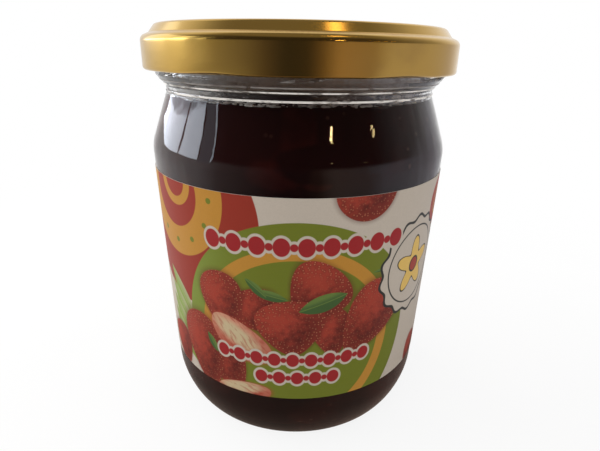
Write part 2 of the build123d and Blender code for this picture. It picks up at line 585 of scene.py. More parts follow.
def piece(name, shape, materials, node=None, crease=CREASE):
    """A finished object from a bmesh, riding on the jar's one body."""
    item = placed(name, shape, *materials)
    item.data.shade_smooth()
    item.data.set_sharp_from_angle(angle=crease)
    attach(item, "root")
    if node:
        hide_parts(node)


LOW_LINE = 0.55 * MM  # the lowest mould line, above the neck's foot
HIGH_LINES = (0.45 * MM, 1.5 * MM)  # the other two, above the neck's top


class Glass:
    """The jar's outline, worked out from its sizes and from the frame."""

    def __init__(self, sizes):
        self.sizes = sizes
        self.rim = JAR_BOX[1].z
        self.neck = sizes.shoulder_height + sizes.shoulder_rise
        self.neck_top = self.neck + sizes.neck_band
        self.finish_foot = self.neck_top + sizes.bead_rise
        self.neck_radius = sizes.finish_radius - sizes.neck_inset
        self.bore = self.neck_radius - sizes.wall
        self.body_run = math.tan(sizes.body_taper)
        self.shoulder_run = (self.neck_radius - sizes.body_radius) / sizes.shoulder_rise

    def body_radius(self, height):
        """Outer radius of the straight part of the body."""
        return self.sizes.body_radius - self.body_run * (self.sizes.shoulder_height - height)

    def outer_corners(self):
        """Corners from the middle of the base up to the rim."""
        sizes = self.sizes
        heel = (self.body_radius(sizes.heel_height), sizes.heel_height)
        foot = heel[0] - math.tan(sizes.heel_angle) * heel[1]
        stand = foot - sizes.stand_width
        return [
            (0, sizes.hollow_depth, 0),
            (stand - sizes.hollow_run, sizes.hollow_depth, 1 * MM),
            (stand, 0, 0.5 * MM),
            (foot, 0, sizes.foot_round),
            (*heel, sizes.heel_round),
            (sizes.body_radius, sizes.shoulder_height, sizes.shoulder_round),
            (self.neck_radius, self.neck, sizes.neck_round),
            (self.neck_radius, self.neck_top, sizes.neck_round),
            (sizes.finish_radius, self.finish_foot, sizes.neck_round),
            (sizes.finish_radius, self.rim, sizes.rim_outer_round),
        ]

    def inner_corners(self, sink=0.0):
        """Corners of the room inside, from the bore down to the floor, sunk into the glass."""
        sizes = self.sizes
        wall = sizes.wall - sink
        corner = (sizes.body_radius, sizes.shoulder_height)
        body = inside(corner, self.body_run, wall)
        shoulder = inside(corner, self.shoulder_run, wall)
        bore = self.bore + sink
        floor = sizes.base_thickness - sink
        foot = body[0] - self.body_run * (body[1] - floor)
        return [
            (*meet(shoulder, self.shoulder_run, (bore, self.neck), 0), sizes.inner_neck_round),
            (*meet(body, self.body_run, shoulder, self.shoulder_run), sizes.shoulder_round - wall),
            (foot, floor, sizes.inner_heel_round + sink),
            (0, floor, 0),
        ]

    def line_share(self, height):
        """1 on a mould line round the neck, falling to 0 beside it."""
        sizes = self.sizes
        lines = [self.neck + LOW_LINE, *(self.neck_top + line for line in HIGH_LINES)]
        return max(hump(height - line, sizes.line_height, sizes.line_height) for line in lines)

    def thread_rise(self, turn, height):
        """How far a thread stands out of the finish at a place on it."""
        sizes = self.sizes
        offset = sizes.finish_radius + sizes.thread_depth - sizes.thread_ring
        share = sizes.finish_radius**2 + offset**2 - sizes.thread_ring**2
        reach = math.acos(share / (2 * sizes.finish_radius * offset))
        middle = reach - sizes.thread_low_end
        away = folded(turn, sizes.thread_count, middle)
        crest = offset * math.cos(away)
        crest += math.sqrt(max(sizes.thread_ring**2 - (offset * math.sin(away)) ** 2, 0))
        climb = away * sizes.finish_radius * math.tan(sizes.thread_slope)
        across = abs(height - sizes.thread_height - climb) - sizes.thread_crest
        side = crest - max(across, 0) * sizes.thread_flank - sizes.finish_radius
        return max(side, 0)


# ---- glass


def glass_finish():
    """Clear glass with slow waves in its surface. Lamps shine through it."""
    tree = new_tree("clear glass")
    place = tree.place()
    waves = tree.grain(place, (75, 75, 30), 2)
    dimples = tree.grain(place, (330, 330, 150), 1)
    glass = tree.principled(
        {
            "Base Color": (0.985, 0.995, 0.99),
            "Roughness": 0.015,
            "IOR": 1.5,
            "Transmission Weight": 1.0,
            "Normal": tree.bump(waves + 0.12 * dimples, 0.5 * MM, 0.6),
        }
    )
    clear = tree.node("ShaderNodeBsdfTransparent", values={"Color": (0.93, 0.95, 0.94)})
    shadow = light_paths(tree)["Is Shadow Ray"]
    return tree.surface(tree.node("ShaderNodeMixShader", values={0: shadow, 1: glass, 2: clear}))


def line_highlight_finish(glass):
    """Painted highlights along the mould lines and thread feet, in place of light that the glass
    catches there: near-white in noisy patches, and dimmer up the finish.
    """
    sizes = glass.sizes
    tree = new_tree("painted line highlights")
    place = tree.place()
    _, _, up = tree.apart(place)
    # Where the painted highlight shows: in noisy patches, and dimmer above the neck's top
    dimmer = tree.fade(up, glass.neck_top + 0.8 * MM, glass.neck_top + 1.2 * MM)
    worn = tree.fade(tree.grain(place, (210, 210, 700), 3, 0.6), 0.32, 0.54)
    shade = tree.mix(worn * (1 - 0.8 * dimmer), sizes.faint_line_highlight, sizes.frost)
    return tree.finish({"Base Color": shade, "Roughness": 0.35})


class JAMJAR_OT_glass(Operator):
    """Turn the glass jar, raise its threads, mould lines and seams, and make the neck uneven"""

    bl_idname = "jamjar.glass"
    bl_label = "Glass jar"

    def execute(self, context):
        sizes = context.scene.jar_sizes
        glass = Glass(sizes)
        rim = (glass.bore, glass.rim, sizes.rim_inner_round)
        shape = drawn_outline([*glass.outer_corners(), rim, *glass.inner_corners()])
        divide(shape, 6 * MM)
        outer = glass.bore + 0.6 * sizes.wall
        divide(shape, 0.25 * MM, lambda spot: spot.z > glass.neck and spot.x > outer)
        divide(shape, 0.5 * MM, lambda spot: spot.z > glass.neck - 1 * MM)
        spin(shape)
        for vert in shape.verts:
            self.shape_finish(glass, vert)
        for face in shape.faces:
            # Faces on mould lines and thread feet take the painted highlight
            face.material_index = self.gets_line_highlight(glass, face.calc_center_median())
        piece("glass_jar", shape, (glass_finish(), line_highlight_finish(glass)), "jar")
        return {"FINISHED"}

    def shape_finish(self, glass, vert):
        """Raises threads, lines and seams, and ripples the neck inside and out."""
        sizes = glass.sizes
        turn, radius = polar(vert.co)
        height = vert.co.z
        if radius < glass.bore - 4 * MM and height > glass.neck - 4 * MM or radius < TINY:
            return
        on_wall = radius > sizes.finish_radius - 0.02 * MM
        rise = glass.thread_rise(turn, height) if on_wall and height > glass.finish_foot else 0
        if radius > glass.neck_radius - 0.3 * MM and height < glass.rim - 2 * MM:
            seam = folded(turn, 2, sizes.seam_angle) * radius
            seam = sizes.seam_height * hump(seam, 0.1 * MM, 0.35 * MM)
            rise += seam * smooth((height - 3 * MM) / (10 * MM))
            rise += sizes.line_rise * glass.line_share(height)
        share = smooth((height - glass.neck) / sizes.ripple_reach + 1)
        if share > 0:
            spot = Vector((vert.co.x, vert.co.y, vert.co.z * 1.6)) * 180
            rise += sizes.ripple * share * noise.noise(spot)
            rise += sizes.ripple * share * 0.4 * noise.noise(spot * 3.1)
        set_radius(vert, radius + rise)

    def gets_line_highlight(self, glass, spot):
        """1 where a mould line or the foot of a thread gets the painted highlight, else 0."""
        turn, radius = polar(spot)
        if radius < glass.neck_radius - 0.4 * MM or spot.z > glass.rim - 2 * MM:
            return 0
        gap = noise.noise(Vector((math.sin(turn) * 9, math.cos(turn) * 9, spot.z / MM)))
        if glass.line_share(spot.z) > 0.6 and gap > -0.5:
            return 1
        rise = glass.thread_rise(turn, spot.z)
        return int(spot.z > glass.finish_foot and 0.005 * MM < rise < 0.35 * MM and gap > -0.5)


# ---- jam


# Fruit and a gap at the front: right of the middle, height and half sizes, all in mm, and how
# much redder the jam is there
FRONT_FRUIT = (
    (0, 89, 4.5, 8, 0.12),
    (-5.5, 79, 7, 3.6, 0.1),
    (4.6, 77.4, 3.6, 1.8, 0.16),
    (4, 81.5, 9, 4, -0.25),
)
FRUIT_DEPTH = 36  # from the axis out to the fruit, in mm
FRUIT_HALF_DEPTH = 12  # its half size that way


def jam_colour(tree, looks):
    """Nearly black jam with fruit showing through, pips and trapped bubbles."""
    place = tree.place()
    fruit = tree.grain(place, (48, 48, 40), 1.5, 0.45)
    veins = tree.grain(place, 170, 2)
    fruit = fruit + (veins - 0.5) * 0.2
    for across, up, half_width, half_height, share in FRONT_FRUIT:
        spot = Vector((across, -FRUIT_DEPTH, up)) * MM
        sizes = Vector((half_width, FRUIT_HALF_DEPTH, half_height)) * MM
        near = tree.distance(tree.about(place, spot, sizes=sizes))
        fruit = fruit + tree.fade(near, 1.2, 0.7) * share
    fruit = tree.fade(fruit, 0.47, 0.72)
    pips = tree.cells(place, 240)
    pips = tree.fade(pips, 0.17, 0.1) * tree.fade(tree.grain(place, 90, 1), 0.52, 0.62)
    bubbles = tree.cells(place, 420)
    bubbles = tree.fade(bubbles, 0.14, 0.08) * tree.fade(tree.grain(place, 60, 1), 0.56, 0.66)
    base = tree.mix(fruit, looks.dark, looks.fruit)
    return tree.mix(pips * 0.35 + bubbles * 0.4, base, looks.pip), veins


def pressed_jam_finish(looks):
    """Jam that lies wet against the glass, where it has no gloss of its own."""
    tree = new_tree("jam at the glass")
    base, _ = jam_colour(tree, looks)
    return tree.finish({"Base Color": base, "Roughness": 0.6, "Specular IOR Level": 0.0})


def open_jam_finish(looks):
    """The glossy set surface of the jam."""
    tree = new_tree("jam surface")
    base, veins = jam_colour(tree, looks)
    return tree.finish(
        {
            "Base Color": base,
            "Roughness": 0.14,
            "IOR": 1.42,
            "Coat Weight": 0.3,
            "Coat Roughness": 0.05,
            "Normal": tree.bump(veins, 0.6 * MM, 0.4),
        }
    )


class JAMJAR_OT_jam(Operator):
    """Fill the jar with jam just into the wall, with an uneven surface and edge"""

    bl_idname = "jamjar.jam"
    bl_label = "Jam"

    def execute(self, context):
        looks = context.scene.jam_looks
        glass = Glass(context.scene.jar_sizes)
        level = JAM_BOX[1].z
        wall = glass.bore + looks.sink
        neck, *rest = glass.inner_corners(looks.sink)
        shape = drawn_outline([(0, level, 0), (wall, level, 0), neck, *rest])
        divide(shape, 5 * MM, lambda spot: spot.z < level - TINY)
        divide(shape, 0.7 * MM, lambda spot: spot.z > level - TINY)
        spin(shape)
        for vert in shape.verts:
            if vert.co.z > level - TINY:
                vert.co.z += jam_rise(looks, vert.co, wall)
        for face in shape.faces:
            on_top = face.calc_center_median().z > level - 0.6 * MM and face.normal.z > 0.5
            face.material_index = int(on_top)
        finishes = (pressed_jam_finish(looks), open_jam_finish(looks))
        piece("jam_fill", shape, finishes, "jam", math.radians(60))
        return {"FINISHED"}


def jam_rise(looks, spot, wall):
    """Height of the jam's surface above its level at a place."""
    broad = noise.noise(Vector((spot.x * 90, spot.y * 90, 3)))
    fine = noise.noise(Vector((spot.x * 330, spot.y * 330, 8)))
    edge = noise.noise(Vector((spot.x * 150, spot.y * 150, 21)))
    near = smooth(1 - (wall - math.hypot(spot.x, spot.y)) / (2.2 * MM))
    rise = looks.lump * (broad + 0.35 * fine)
    return rise * (1 - near) + near * looks.edge * (1.6 * edge - 0.4)


def foam_finish(looks):
    """Pale wet foam."""
    tree = new_tree("pale foam")
    shade = tree.fade(tree.grain(tree.place(), 260, 1), 0.35, 0.65)
    base = tree.mix(shade * 0.4, looks.foam, looks.pip)
    return tree.finish({"Base Color": base, "Roughness": 0.12, "Specular IOR Level": 0.7})


class JAMJAR_OT_foam(Operator):
    """Scatter small bubbles where the jam meets the glass"""

    bl_idname = "jamjar.foam"
    bl_label = "Foam"

    def execute(self, context):
        looks = context.scene.jam_looks
        glass = Glass(context.scene.jar_sizes)
        level = JAM_BOX[1].z
        draw = random.Random(FOAM_SEED)
        bubble = bmesh.new()
        bmesh.ops.create_uvsphere(bubble, u_segments=8, v_segments=5, radius=1)
        ball = bpy.data.meshes.new("bubble")
        bubble.to_mesh(ball)
        bubble.free()
        shape = bmesh.new()
        left = looks.foam_count
        while left:
            turn = draw.uniform(-math.pi, math.pi)
            crowd = 0.35 + 0.5 * noise.noise(Vector((math.sin(turn) * 3, math.cos(turn) * 3, 5)))
            crowd += 0.4 * hump(turn - looks.foam_turn, math.radians(18), math.radians(40))
            size = looks.foam_size * draw.uniform(0.35, 1) ** 2
            if draw.random() > 0.1 + crowd:
                continue
            radius = glass.bore + looks.sink
            spot = Vector((radius * math.sin(turn), -radius * math.cos(turn), 0))
            spot.z = level + jam_rise(looks, spot, glass.bore) + size * draw.uniform(-1.6, 0.6)
            spot.z += crowd * looks.foam_climb * draw.random() ** 2
            stretch = Vector((draw.uniform(1, 2.6), 0.3, 0.7)) * size
            put = Matrix.LocRotScale(spot, Matrix.Rotation(turn, 3, "Z"), stretch)
            ball.transform(put)
            shape.from_mesh(ball)
            ball.transform(put.inverted())
            left -= 1
        bpy.data.meshes.remove(ball)
        piece("jam_foam", shape, [foam_finish(looks)], crease=math.pi)
        return {"FINISHED"}


def film_finish(looks):
    """A thin coat of jam left on the glass, with pale smears, most of them at the two sides. On the
    left, extra pale smears and pale rings round the bubbles are painted highlights of the window's
    light. The bubbles themselves are real.
    """
    tree = new_tree("jam film")
    place = tree.place()
    across, _, up = tree.apart(place)
    streaks = tree.grain(place, (300, 300, 700), 3, 0.6)
    patches = tree.grain(place, (45, 45, 120), 2)
    drops = tree.cells(place, 850, 0.9)
    sides = tree.fade(abs(across), 12 * MM, 32 * MM)
    # Painted highlight: the left side, where the window's light falls, gets more pale smears and pale
    # bubble rings
    left = tree.fade(across, -10 * MM, -30 * MM)
    high = tree.fade(up, JAM_BOX[1].z + 2.5 * MM, JAM_BOX[1].z + 5.5 * MM)
    pale = streaks + (patches - 0.5) * 0.5 + sides * 0.1 + left * 0.1 + high * 0.08
    pale = tree.fade(pale, 0.52, 0.74)
    bubbles = tree.fade(abs(drops - 0.4), 0.2, 0.06) * tree.fade(patches, 0.36, 0.5)
    bubbles = bubbles.most(tree.fade(streaks, 0.46, 0.56))
    # Pale bubble rings only on the left: painted highlights of the window's light on real bubbles
    pale = pale.most(left * bubbles)
    clear = (sides * 0.35 + left * 0.2) * (1 - pale) + left * 0.25 * tree.fade(streaks, 0.42, 0.58)
    coat = tree.mix(high * (1 - 0.6 * sides), looks.dark, looks.film_dark)
    return tree.finish(
        {
            "Base Color": tree.mix(pale, coat, looks.film),
            "Roughness": 0.35,
            "Alpha": 0.92 - clear,
            "Normal": tree.bump(drops, 0.3 * MM, 0.7),
        }
    )


class JAMJAR_OT_film(Operator):
    """Make the thin film on the inside of the neck above the jam"""

    bl_idname = "jamjar.film"
    bl_label = "Film on the glass"

    def execute(self, context):
        looks = context.scene.jam_looks
        glass = Glass(context.scene.jar_sizes)
        outer = glass.bore - looks.film_gap
        inner = outer - looks.film_thickness
        foot = JAM_BOX[1].z - 0.3 * MM
        head = glass.rim - 2 * MM
        corners = [(outer, foot, 0), (outer, head, 0), (inner, head, 0), (inner, foot, 0)]
        shape = drawn_outline(corners, closed=True)
        spin(shape)
        piece("neck_film", shape, [film_finish(looks)])
        return {"FINISHED"}


# ---- cap


def gold_finish(looks):
    """Satin gold lacquer over tinplate, faintly brushed and a little worn."""
    tree = new_tree("gold lacquer")
    place = tree.place()
    worn = tree.fade(tree.grain(place, 45, 4, 0.6), 0.52, 0.75)
    scuffs = tree.grain(place, (120, 120, 900), 3)
    brushed = tree.grain(place, (1400, 1400, 500), 2)
    return tree.finish(
        {
            "Base Color": tree.mix(worn * 0.6, looks.gold, looks.gold_worn),
            "Metallic": 1.0,
            "Roughness": 0.15 + 0.06 * worn + 0.05 * scuffs,
            "Normal": tree.bump(brushed, 0.015 * MM, 0.25),
        }
    )


def mottled_finish(name, scale, detail, shades, roughness, relief):
    """A matt material, finely mottled between two colours, with some relief."""
    tree = new_tree(name)
    mottled = tree.grain(tree.place(), scale, detail)
    values = {"Base Color": tree.mix(mottled, *shades), "Roughness": roughness}
    if relief:
        values["Normal"] = tree.bump(mottled, relief)
    return tree.finish(values)


class JAMJAR_OT_cap(Operator):
    """Press the cap from one sheet, roll its edge and press the lugs in"""

    bl_idname = "jamjar.cap"
    bl_label = "Cap"

    def execute(self, context):
        looks = context.scene.cap_looks
        top = CAP_BOX[1].z
        foot = CAP_BOX[0].z
        skirt = CAP_BOX[1].x
        ring = skirt - looks.ledge_width - looks.ring_run
        panel = ring - looks.ring_width - looks.panel_run
        panel_height = top - looks.panel_drop
        button = panel_height + looks.button_rise
        shoulder = top - looks.shoulder_drop
        inner_edge = skirt - 2 * looks.curl
        roll = 0.98 * looks.curl  # just under the curl, so that each arc keeps to its own corner
        fold = 0.6 * MM
        corners = [
            (skirt - looks.curl, foot + 2 * looks.curl, 0),
            (inner_edge, foot + 2 * looks.curl, roll),
            (inner_edge, foot, roll),
            (skirt, foot, roll),
            (skirt, shoulder, 1.6 * MM),
            (skirt - looks.ledge_width, shoulder + looks.ledge_rise, 0.4 * MM),
            (ring, top, 1.2 * MM),
            (ring - looks.ring_width, top, fold),
            (panel, panel_height, fold),
            (looks.button_radius, panel_height, fold),
            (looks.button_radius - looks.button_run, button, fold),
            (0, button, 0),
        ]
        shape = drawn_outline(corners)
        divide(shape, 0.5 * MM, lambda spot: spot.x > skirt - 2 * MM)
        divide(shape, 3 * MM)
        spin(shape)
        for vert in shape.verts:
            self.press_lugs(looks, vert, skirt, foot)
        for face in thicken(shape, looks.sheet):
            face.material_index = int(face.calc_center_median().z > foot + 2.2 * looks.curl)
        shades = (looks.enamel, looks.gold_worn)
        enamel = mottled_finish("inner enamel", 260, 3, shades, 0.45, 0.03 * MM)
        piece("gold_cap", shape, (gold_finish(looks), enamel), "cap")
        self.make_seal(context, looks, top)
        return {"FINISHED"}

    def press_lugs(self, looks, vert, skirt, foot):
        """Dents the edge outside and pushes it in under the thread at each lug."""
        turn, radius = polar(vert.co)
        height = vert.co.z - foot
        if radius < skirt - 2.2 * looks.curl or height > 4 * MM:
            return
        away = folded(turn, looks.lug_count, looks.lug_angle)
        share = smooth(1 - abs(away) / (looks.lug_arc / 2))
        low = 1 - smooth(height / (3.2 * MM))
        outside = smooth((radius - skirt + 1.2 * looks.curl) / looks.curl)
        inward = looks.lug_dent * outside * low + looks.lug_reach * (1 - outside)
        set_radius(vert, radius - share * inward)
        vert.co.z += share * low * outside * looks.lug_lift

    def make_seal(self, context, looks, top):
        """The ring of sealing compound between cap and rim."""
        glass = Glass(context.scene.jar_sizes)
        outer = glass.sizes.finish_radius - 1.4 * MM
        inner = glass.bore + 0.2 * MM
        head = top - looks.sheet - 0.02 * MM
        corners = [
            (inner, glass.rim - 0.3 * MM, 0.25 * MM),
            (outer, glass.rim - 0.3 * MM, 0.25 * MM),
            (outer, head, 0),
            (inner, head, 0),
        ]
        shape = drawn_outline(corners, closed=True)
        spin(shape)
        shades = (looks.seal, looks.seal_dark)
        compound = mottled_finish("sealing ring", 500, 3, shades, 0.45, 0.05 * MM)
        piece("cap_seal", shape, [compound])


# ---- label


# The print, in millimetres right of the front and up. Berries and leaves have half sizes and a
# turn in degrees, and those later in a list lie in front.
HEAP = (
    (-11, 44.5, 7, 6, 24),
    (9.5, 38.5, 5, 7.5, 10),
    (-20.2, 45, 6.4, 9, 10),
    (5.5, 50.4, 8.2, 7.8, -40),
    (20.8, 41, 7.8, 11.6, -34),
    (-20.5, 26, 7.5, 8.5, 35),
    (-28.2, 26.8, 7.4, 12.4, 12),
    (-1.2, 40, 8.8, 8.2, 8),
)
EDGE_BERRIES = ((-41, 23, 6, 7, 20), (44.5, 20, 4.2, 6, -25))
BACK_BERRIES = ((104, 31, 7, 8, -20), (114, 36, 6, 7.5, 25))
TOP_BERRY = (17, 75.5, 8.2, 7, 15)
CUT_BERRIES = ((-15.3, 34.6, 10, 5.2, -30), (-15, 17.5, 8.5, 3.4, 8))
ROUND_TAPER = 0.1  # of a berry that is nearly an oval
LEAVES = (
    (7, 47.4, 6.6, 2.4, 20),
    (-6.6, 49.4, 4.8, 1.4, -12),
    (-10.2, 51.2, 3.6, 1.1, -40),
    (-24.5, 31, 3.2, 1.2, -58),
    (23.5, 54.5, 3.4, 0.5, 4),
)
SEED_SPACING = 1.05
BACK_LEAVES = ((82, 32, 9, 2.4, 35), (90, 29, 8, 2, 10))
CHAINS = ((2.4, 62.7, 4, 2.4), (-0.6, 30.2, 4, 2), (0.7, 24.4, 2, 2))  # middle, count, half height
FRONT_FIELD = (0.4, 36)  # middle
FRONT_FIELD_RADIUS = 33
FRONT_RING = (0, 35.4, 23.9, 27.2)  # middle, inner and outer radius
LEFT_FIELD = (-33.8, 66, 25)  # middle and radius
LEFT_RINGS = (-36, 72.5)  # middle
DOTS_RADIUS = 14  # of the ring of dots
RIGHT_FIELD = (51, 67, 7.5)
RIGHT_RING = (51, 67, 3.6, 4.4)
BACK_FIELD = (98, 58, 22)  # one at each side
BADGE = (36.8, 52)
BADGE_RADIUS = 13.4


class Print:
    """Flat artwork, painted shape on shape. X is millimetres right of the front, Y is height."""

    SOFT = 0.12  # width of a printed edge

    def __init__(self, tree, looks):
        self.tree = tree
        self.looks = looks
        self.place = tree.node("ShaderNodeUVMap", {"uv_map": PRINT_MAP})
        self.colour = looks.paper

    def paint(self, mask, shade):
        """Lays a colour over what is there."""
        self.colour = self.tree.mix(mask, self.colour, shade)

    def local(self, x, y, turn=0.0, width=1.0, height=1.0):
        """Coordinates about a spot, turned by degrees and measured in half sizes."""
        return self.tree.about(self.place, (x, y, 0), turn, (width, height, 1))

    def away(self, x, y):
        """Distance from a spot."""
        return self.tree.distance(self.local(x, y))

    def within(self, distance, radius, soft=None):
        """1 inside a radius, 0 outside."""
        soft = self.SOFT if soft is None else soft
        return self.tree.fade(distance, radius + soft, radius - soft)

    def disc(self, x, y, radius, shade):
        """A plain round field."""
        self.paint(self.within(self.away(x, y), radius), shade)

    def ring(self, x, y, inner, outer, shade):
        """A ring, as a band about its middle radius."""
        away = abs(self.away(x, y) - (inner + outer) / 2)
        self.paint(self.within(away, (outer - inner) / 2), shade)

    def leaf(self, x, y, half_length, half_width, turn, shade, vein):
        """A pointed leaf, paler on one side of its vein, as the overlap of two discs."""
        radius = (half_length**2 + half_width**2) / (2 * half_width)
        along, across, _ = self.tree.apart(self.local(x, y, turn))
        offset = abs(across) + (radius - half_width)
        mask = self.within((along * along + offset * offset) ** 0.5, radius)
        self.paint(mask, shade)
        self.paint(mask * self.tree.fade(across, -0.1, 0.7 * half_width) * 0.4, vein)
        self.paint(mask * self.within(abs(across), 0.1, 0.15) * 0.5, vein)

    def berry(self, x, y, half_width, half_height, turn, taper=0.38, shades=None):
        """A berry, widest near its top and lit from the upper left, on a soft dark halo.

        Its mask is given back, and how near each spot is to its edge.
        """
        bright, dark = shades or (self.looks.berry, self.looks.berry_dark)
        across, up, _ = self.tree.apart(self.local(x, y, turn, half_width, half_height))
        wide = across / (1 + taper * up)
        away = (wide * wide + up * up) ** 0.5
        mask = self.within(away, 1, self.SOFT / half_width)
        self.paint(self.within(away, 1.06, 0.14) * 0.55, dark)
        lit_x = wide + 0.35
        lit_y = up - 0.4
        lit = (lit_x * lit_x + lit_y * lit_y) ** 0.5
        edge = self.tree.fade(away, 0.4, 1.0)
        mottled = self.tree.grain(self.place, 0.55, 3, 0.6)
        body = self.tree.fade(lit + (mottled - 0.5) * 1.6, 0.1, 1.3)
        body = self.tree.mix(body, bright, dark)
        self.paint(mask, self.tree.mix(edge * 0.45, body, bright))
        return mask, edge

    def berries(self, spots, seeded):
        """Whole berries. The share of seeds is given back, which is highest at their edges."""
        for spot in spots:
            mask, edge = self.berry(*spot)
            seeded = seeded * (1 - mask) + mask * (0.15 + 0.85 * edge)
        return seeded

    def seeds(self, share, spacing):
        """Small scattered seeds in dark dimples."""
        cells = self.tree.cells(self.place, 1 / spacing, 0.8, "2D")
        self.paint(share * self.tree.fade(cells, 0.55, 0.25) * 0.4, self.looks.berry_dark)
        self.paint(share * self.tree.fade(cells, 0.24, 0.08) * 0.6, self.looks.seed)

    def chain(self, x, y, count, half_height):
        """A row of beads, large and small in turn, all with a pale halo. It counts each way."""
        pitch = 2.5 * half_height
        across, up, _ = self.tree.apart(self.local(x, y))
        away = across.pingpong(pitch / 2)
        large = ((away * 1.15) ** 2 + up * up) ** 0.5 - half_height
        between = pitch / 2 - away
        small = (between * between + up * up) ** 0.5 - 0.42 * half_height
        small = small + pitch * abs(across).beyond(count * pitch)
        row = self.within(abs(across), (count + 0.5) * pitch)
        for margin, laid in ((0.7, self.looks.paper), (0, self.looks.crimson)):
            self.paint(row * self.within(large.least(small), margin), laid)


def paint_fields(art, looks):
    """Round fields with rings, dots and pale leaves, at the left, the right and the back."""
    pale = (looks.leaf_pale, looks.paper)
    x, y = LEFT_RINGS
    art.disc(*LEFT_FIELD, looks.red)
    art.ring(x, y, 10, 18, looks.orange)
    art.ring(x + 1.5, y + 2.5, 4.2, 6.5, looks.orange)
    for step in range(5):
        turn = math.radians(-2 - 29 * step)
        across, up = DOTS_RADIUS * math.cos(turn), DOTS_RADIUS * math.sin(turn)
        art.disc(x + across, y + up, 0.75, looks.green)
    for row in range(4):
        art.leaf(-36.5 - 0.6 * row, 41 - 4.6 * row, 10, 2.6, -46, *pale)
    art.disc(*RIGHT_FIELD, looks.berry)
    art.ring(*RIGHT_RING, looks.orange)
    middle, height, radius = BACK_FIELD
    for side, field in ((-1, looks.green), (1, looks.red)):
        art.disc(side * middle, height, radius, field)
        art.ring(side * middle, height, 12, 15, looks.orange)
        for x, y, half_length, half_width, turn in BACK_LEAVES:
            art.leaf(side * x, y, half_length, half_width, side * turn, *pale)


def paint_front_field(art, looks):
    """The round green field in front, with a painted sheen that makes it paler to the left, and its
    ring.
    """
    art.disc(*FRONT_FIELD, FRONT_FIELD_RADIUS, looks.green)
    across, _, _ = art.tree.apart(art.place)
    # Painted sheen: the left side of the field is painted paler green, in place of the window's light
    # on the glossy paper
    paler = art.within(art.away(*FRONT_FIELD), FRONT_FIELD_RADIUS)
    art.paint(paler * art.tree.fade(across, -8, -34) * 0.5, looks.leaf_pale)
    art.ring(*FRONT_RING, looks.orange)


def paint_cut_berry(art, looks, x, y, half_width, half_height, turn):
    """Half a berry with its pale core and red streaks."""
    shades = (looks.flesh, looks.berry)
    cut, _ = art.berry(x, y, half_width, half_height, turn, ROUND_TAPER, shades)
    core = art.local(x - 0.8, y + 1.4, turn, 0.72 * half_width, 0.5 * half_height)
    art.paint(cut * art.within(art.tree.distance(core), 1, 0.45), looks.core)
    streaks = art.tree.grain(art.local(x, y, turn + 65, 0.9, 4), 1, 2)
    art.paint(cut * art.tree.fade(streaks, 0.5, 0.66) * 0.5, looks.berry)


def paint_badge(art, looks):
    """A plain scalloped badge with a blossom."""
    across, up, _ = art.tree.apart(art.local(*BADGE))
    turn = across.arctan2(up)
    away = art.away(*BADGE)
    scallop = away - 0.55 * (turn * 14).cosine()
    art.paint(art.within(scallop, BADGE_RADIUS + 0.8), looks.ink)
    art.paint(art.within(scallop, BADGE_RADIUS), looks.paper)
    art.paint(art.within(abs(away - (BADGE_RADIUS - 2.2)), 0.22), looks.ink)
    petals = away - 2.2 * (turn * 5).cosine()
    heart = ((away, 2.4, looks.ink), (away, 1.9, looks.berry))
    for shape, radius, shade in ((petals, 6.4, looks.ink), (petals, 5.9, looks.petal), *heart):
        art.paint(art.within(shape, radius), shade)


def label_artwork(tree, looks):
    """Fields of colour, a heap of berries, leaves, a badge and chains of beads."""
    art = Print(tree, looks)
    paint_fields(art, looks)
    for spot in EDGE_BERRIES:
        art.berry(*spot)
    top, edge = art.berry(*TOP_BERRY, ROUND_TAPER)
    seeded = top * (0.25 + 0.5 * edge)
    for side in (-1, 1):
        spots = [(side * x, y, *sizes, side * turn) for x, y, *sizes, turn in BACK_BERRIES]
        seeded = art.berries(spots, seeded)
    paint_front_field(art, looks)
    art.seeds(art.berries(HEAP, seeded), SEED_SPACING)
    for spot in CUT_BERRIES:
        paint_cut_berry(art, looks, *spot)
    for spot in LEAVES:
        art.leaf(*spot, looks.leaf, looks.leaf_pale)
    paint_badge(art, looks)
    for spot in CHAINS:
        art.chain(*spot)
    return art.colour


def label_finish(looks):
    """Coated paper with its print and a faint tooth."""
    tree = new_tree("printed paper")
    place = tree.place()
    tooth = tree.grain(place, 2600, 3)
    waves = tree.grain(place, (70, 70, 40), 2)
    return tree.finish(
        {
            "Base Color": tree.mix(0.16 * tooth, label_artwork(tree, looks), looks.tooth),
            "Roughness": 0.42 + 0.08 * tooth,
            "Specular IOR Level": 0.2,
            "Normal": tree.bump(waves + 0.05 * tooth, 0.25 * MM, 0.6),
        }
    )


class JAMJAR_OT_label(Operator):
    """Wrap the printed paper round the body, open in a strip at the back"""

    bl_idname = "jamjar.label"
    bl_label = "Label"

    def execute(self, context):
        looks = context.scene.label_looks
        glass = Glass(context.scene.jar_sizes)
        foot, head = LABEL_BOX[0].z, LABEL_BOX[1].z
        corners = [(glass.body_radius(height) + looks.thickness, height, 0) for height in (foot, head)]
        shape = drawn_outline(corners)
        divide(shape, 3 * MM)
        spin(shape, math.pi + looks.opening / 2, math.tau - looks.opening)
        first = next(iter(shape.faces))
        if first.normal.dot(first.calc_center_median()) < 0:
            bmesh.ops.reverse_faces(shape, faces=shape.faces[:])
        for face in thicken(shape, looks.thickness):
            face.material_index = 1
        self.map_print(shape)
        edge = mottled_finish("paper edge", 3000, 2, (looks.paper_edge, looks.paper), 0.8, 0)
        piece("paper_label", shape, (label_finish(looks), edge), "label")
        return {"FINISHED"}

    def map_print(self, shape):
        """Gives every corner its millimetres round the jar and its height."""
        layer = shape.loops.layers.uv.new(PRINT_MAP)
        for face in shape.faces:
            for loop in face.loops:
                turn, _ = polar(loop.vert.co)
                loop[layer].uv = (turn * ROUND / MM, loop.vert.co.z / MM)


# ---- stage


